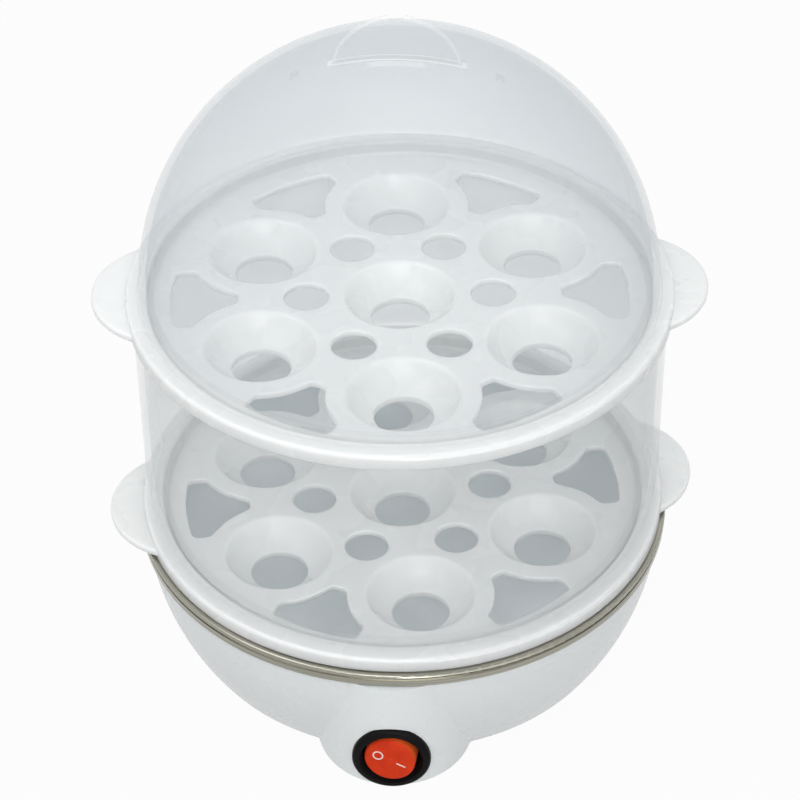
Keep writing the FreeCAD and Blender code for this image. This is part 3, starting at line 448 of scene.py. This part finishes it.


# Materials that several nodes wear, and the two clear ones with their tints; the tier's paler tints are a
# painted lit copy of the lid's plastic.
TRAY_WHITE = moulded_white("tray_white", (0.820, 0.838, 0.826), (0.850, 0.863, 0.850), 0.27, 0.85)
BASE_WHITE = moulded_white("base_white", (0.728, 0.755, 0.758), (0.742, 0.769, 0.772), 0.27, 0.0)
LID_TINTS = ((0.68, 0.73, 0.765), (0.74, 0.78, 0.805))
# The tier's paler tints are painted light on the lid's plastic.
TIER_LIT_TINTS = ((0.86, 0.895, 0.91), (0.90, 0.925, 0.935))
CLEAR_LID = milky_clear("clear_lid", 0.10, 0.32, LID_RIM, *LID_TINTS, finned=True)
CLEAR_TIER = milky_clear("clear_tier", 0.06, 0.42, TIER_RIM, *TIER_LIT_TINTS)
STEEL = pan_steel("stainless_steel")
ZINC = plain_metal("zinc_steel", (0.50, 0.51, 0.52), (0.62, 0.63, 0.64), 0.34, 160.0)
BRASS = plain_metal("brass", (0.58, 0.42, 0.17), (0.68, 0.52, 0.24), 0.28, 200.0)
RUBBER = dull_surface("rubber", (0.018, 0.018, 0.018), (0.032, 0.032, 0.031), 0.72, 1400.0, 0.04 * MM)
NYLON = dull_surface("white_nylon", (0.66, 0.66, 0.62), (0.74, 0.74, 0.70), 0.48, 900.0, 0.03 * MM)
LEAD_BROWN = dull_surface("lead_brown", (0.075, 0.027, 0.012), (0.11, 0.04, 0.018), 0.5, 1200.0, 0.02 * MM)
LEAD_WHITE = dull_surface("lead_white", (0.66, 0.66, 0.63), (0.75, 0.75, 0.72), 0.5, 1200.0, 0.02 * MM)
LEAD_BLUE = dull_surface("lead_blue", (0.010, 0.035, 0.22), (0.016, 0.055, 0.30), 0.5, 1200.0, 0.02 * MM)

FINISHES = [
    (BASE_WHITE, ["base_housing", "bottom_cover"]),
    (TRAY_WHITE, ["lower_egg_tray", "upper_egg_tray"]),
    (CLEAR_LID, ["lid_dome"]),
    (CLEAR_TIER, ["tier_ring"]),
    (STEEL, ["heating_pan"]),
    (black_gloss("black_plastic"), ["switch_body"]),
    (red_clear("red_plastic"), ["switch_rocker"]),
    (NYLON, ["switch_plunger", "terminal_block", "cord_clamp"]),
    (bulb_glass("lamp_glass"), ["switch_lamp"]),
    (
        dull_surface("silicone", (0.44, 0.44, 0.42), (0.54, 0.54, 0.52), 0.6, 900.0, 0.03 * MM),
        ["rim_gasket"],
    ),
    (RUBBER, ["foot_1", "foot_2", "foot_3", "foot_4", "cord_gland"]),
    (plain_metal("aluminium", (0.60, 0.60, 0.60), (0.72, 0.72, 0.72), 0.42, 120.0), ["heating_plate"]),
    (
        plain_metal("element_sheath", (0.07, 0.075, 0.07), (0.13, 0.13, 0.12), 0.5, 180.0),
        ["heating_element"],
    ),
    (ZINC, ["cover_screws", "clamp_screws", "pan_studs", "stud_washers", "stud_nuts", "thermostat_strap"]),
    (ZINC, ["fuse_clip", "fuse_rivets", "element_pins"]),
    (BRASS, ["thermostat_blades", "switch_blades", "contact_arm"]),
    (
        dull_surface("dark_phenolic", (0.010, 0.007, 0.005), (0.019, 0.013, 0.010), 0.45, 800.0, 0.03 * MM),
        ["thermostat_body"],
    ),
    (plain_metal("fuse_case", (0.62, 0.60, 0.52), (0.70, 0.67, 0.60), 0.36, 260.0), ["thermal_fuse"]),
    (LEAD_BROWN, ["lead_live", "lead_switched"]),
    (LEAD_WHITE, ["lead_heater", "lead_fuse"]),
    (LEAD_BLUE, ["lead_return"]),
]


def dress_nodes():
    for material, names in FINISHES:
        for name in names:
            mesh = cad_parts[name].data
            mesh.materials.clear()
            mesh.materials.append(material)


def outline_of_ring(radius, stroke, steps=96):
    """Inner and outer loops of the ring mark."""
    loops = []
    turns = [2 * math.pi * i / steps for i in range(steps)]
    for r in (radius - stroke, radius):
        loops.append([(r * math.cos(turn), r * math.sin(turn)) for turn in turns])
    return loops


def outline_of_bar(length, stroke, steps=16):
    """One closed loop of a bar with round ends."""
    half, r = length / 2 - stroke / 2, stroke / 2
    loop = []
    for side in (1, -1):
        for i in range(steps + 1):
            turn = math.pi * (i / steps - 0.5) + (0 if side == 1 else math.pi)
            loop.append((side * half + r * math.cos(turn), r * math.sin(turn)))
    return loop


def printed(name, loops, centre, place):
    """A thin raised print: the area between one or two loops, with an eased edge."""
    mesh = bpy.data.meshes.new(name)
    shape = bmesh.new()
    rows = []
    ease = MARK_HEIGHT * MARK_EASE
    for index, loop in enumerate(loops):
        inward = len(loops) == 2 and index == 0
        stack = []
        for inset, height in ((0.0, -MARK_SINK), (0.0, MARK_HEIGHT - ease), (ease, MARK_HEIGHT)):
            ring = []
            for x, y in loop:
                point = Vector((x, y))
                away = point.normalized() * inset
                point = point + away if inward else point - away
                ring.append(shape.verts.new((point.x + centre, point.y, height)))
            stack.append(ring)
        for low, high in zip(stack, stack[1:]):
            for i in range(len(low)):
                k = (i + 1) % len(low)
                shape.faces.new((low[i], low[k], high[k], high[i]))
        rows.append(stack)
    for level in (0, -1):
        if len(rows) == 1:
            shape.faces.new(rows[0][level])
        else:
            inner, outer = rows[0][level], rows[1][level]
            for i in range(len(inner)):
                k = (i + 1) % len(inner)
                shape.faces.new((inner[i], inner[k], outer[k], outer[i]))
    bmesh.ops.recalc_face_normals(shape, faces=shape.faces)
    shape.transform(place)
    shape.to_mesh(mesh)
    shape.free()
    piece = bpy.data.objects.new(name, mesh)
    bpy.context.scene.collection.objects.link(piece)
    return piece


def make_marks():
    ink = mark_ink("mark_ink")
    place = rocker_place()
    ring = printed("mark_off", outline_of_ring(RING_RADIUS, MARK_STROKE), -MARK_OFFSET, place)
    bar = printed("mark_on", [outline_of_bar(BAR_LENGTH, MARK_STROKE)], MARK_OFFSET, place)
    for piece in (ring, bar):
        piece.data.materials.append(ink)
        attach(piece, "rocker")


def seen_path(tree):
    """1 for rays that show the studio: straight to the camera, mirrored or through glass."""
    path = tree.nodes.new("ShaderNodeLightPath")
    total = path.outputs["Is Camera Ray"]
    for key in ("Is Glossy Ray", "Is Transmission Ray"):
        step = tree.nodes.new("ShaderNodeMath")
        step.operation = "MAXIMUM"
        tree.links.new(total, step.inputs[0])
        tree.links.new(path.outputs[key], step.inputs[1])
        total = step.outputs[0]
    return total


def make_world():
    world = bpy.data.worlds.new("studio")
    world.use_nodes = True
    tree = world.node_tree
    tree.nodes.clear()
    output = tree.nodes.new("ShaderNodeOutputWorld")
    light = tree.nodes.new("ShaderNodeBackground")
    light.inputs["Color"].default_value = SKY_TINT
    light.inputs["Strength"].default_value = AMBIENT
    shown = tree.nodes.new("ShaderNodeBackground")
    shown.inputs["Color"].default_value = WHITE
    mix = tree.nodes.new("ShaderNodeMixShader")
    tree.links.new(seen_path(tree), mix.inputs[0])
    tree.links.new(light.outputs[0], mix.inputs[1])
    tree.links.new(shown.outputs[0], mix.inputs[2])
    tree.links.new(mix.outputs[0], output.inputs["Surface"])
    bpy.context.scene.world = world


def make_floor():
    material = bpy.data.materials.new("studio_floor")
    material.use_nodes = True
    tree = material.node_tree
    tree.nodes.clear()
    output = tree.nodes.new("ShaderNodeOutputMaterial")
    cloth = tree.nodes.new("ShaderNodeBsdfDiffuse")
    cloth.inputs["Color"].default_value = (FLOOR_GREY, FLOOR_GREY, FLOOR_GREY, 1.0)
    glow = tree.nodes.new("ShaderNodeEmission")
    glow.inputs["Color"].default_value = WHITE
    share = tree.nodes.new("ShaderNodeMath")
    share.operation = "MULTIPLY"
    tree.links.new(seen_path(tree), share.inputs[0])
    share.inputs[1].default_value = FLOOR_GLOW
    mix = tree.nodes.new("ShaderNodeMixShader")
    tree.links.new(share.outputs[0], mix.inputs[0])
    tree.links.new(cloth.outputs[0], mix.inputs[1])
    tree.links.new(glow.outputs[0], mix.inputs[2])
    tree.links.new(mix.outputs[0], output.inputs["Surface"])
    half = FLOOR_SIDE / 2
    mesh = bpy.data.meshes.new("floor")
    corners = [(-half, -half, 0.0), (half, -half, 0.0), (half, half, 0.0), (-half, half, 0.0)]
    mesh.from_pydata(corners, [], [(0, 1, 2, 3)])
    mesh.materials.append(material)
    floor = bpy.data.objects.new("floor", mesh)
    floor.location.z = cad_box[0].z - FLOOR_GAP
    bpy.context.scene.collection.objects.link(floor)


def area_lamp(name, place, aim, size, power):
    data = bpy.data.lights.new(name, "AREA")
    data.shape = "RECTANGLE"
    data.size, data.size_y = size
    data.energy = power
    lamp = bpy.data.objects.new(name, data)
    lamp.location = place
    lamp.rotation_euler = (Vector(aim) - Vector(place)).to_track_quat("-Z", "Y").to_euler()
    bpy.context.scene.collection.objects.link(lamp)


def make_lamps():
    for name, place, size, power in LAMPS:
        area_lamp(name, place, LAMP_AIM, size, power)


def make_camera():
    turn, rise, roll = (math.radians(a) for a in (CAMERA_AZIMUTH, CAMERA_ELEVATION, CAMERA_ROLL))
    back = Vector((math.sin(turn) * math.cos(rise), -math.cos(turn) * math.cos(rise), math.sin(rise)))
    level = Vector((math.cos(turn), math.sin(turn), 0.0))
    upright = back.cross(level)
    right = level * math.cos(roll) + upright * math.sin(roll)
    up = upright * math.cos(roll) - level * math.sin(roll)
    data = bpy.data.cameras.new("camera")
    data.lens = CAMERA_LENS
    data.sensor_width = CAMERA_SENSOR
    data.clip_start, data.clip_end = CAMERA_CLIP
    camera = bpy.data.objects.new("camera", data)
    axes = Matrix((right, up, back)).transposed().to_4x4()
    camera.matrix_world = Matrix.Translation(CAMERA_TARGET + back * CAMERA_DISTANCE) @ axes
    bpy.context.scene.collection.objects.link(camera)
    bpy.context.scene.camera = camera


dress_nodes()
make_marks()
make_world()
make_floor()
make_lamps()
make_camera()
bpy.context.scene.view_settings.view_transform = "Standard"
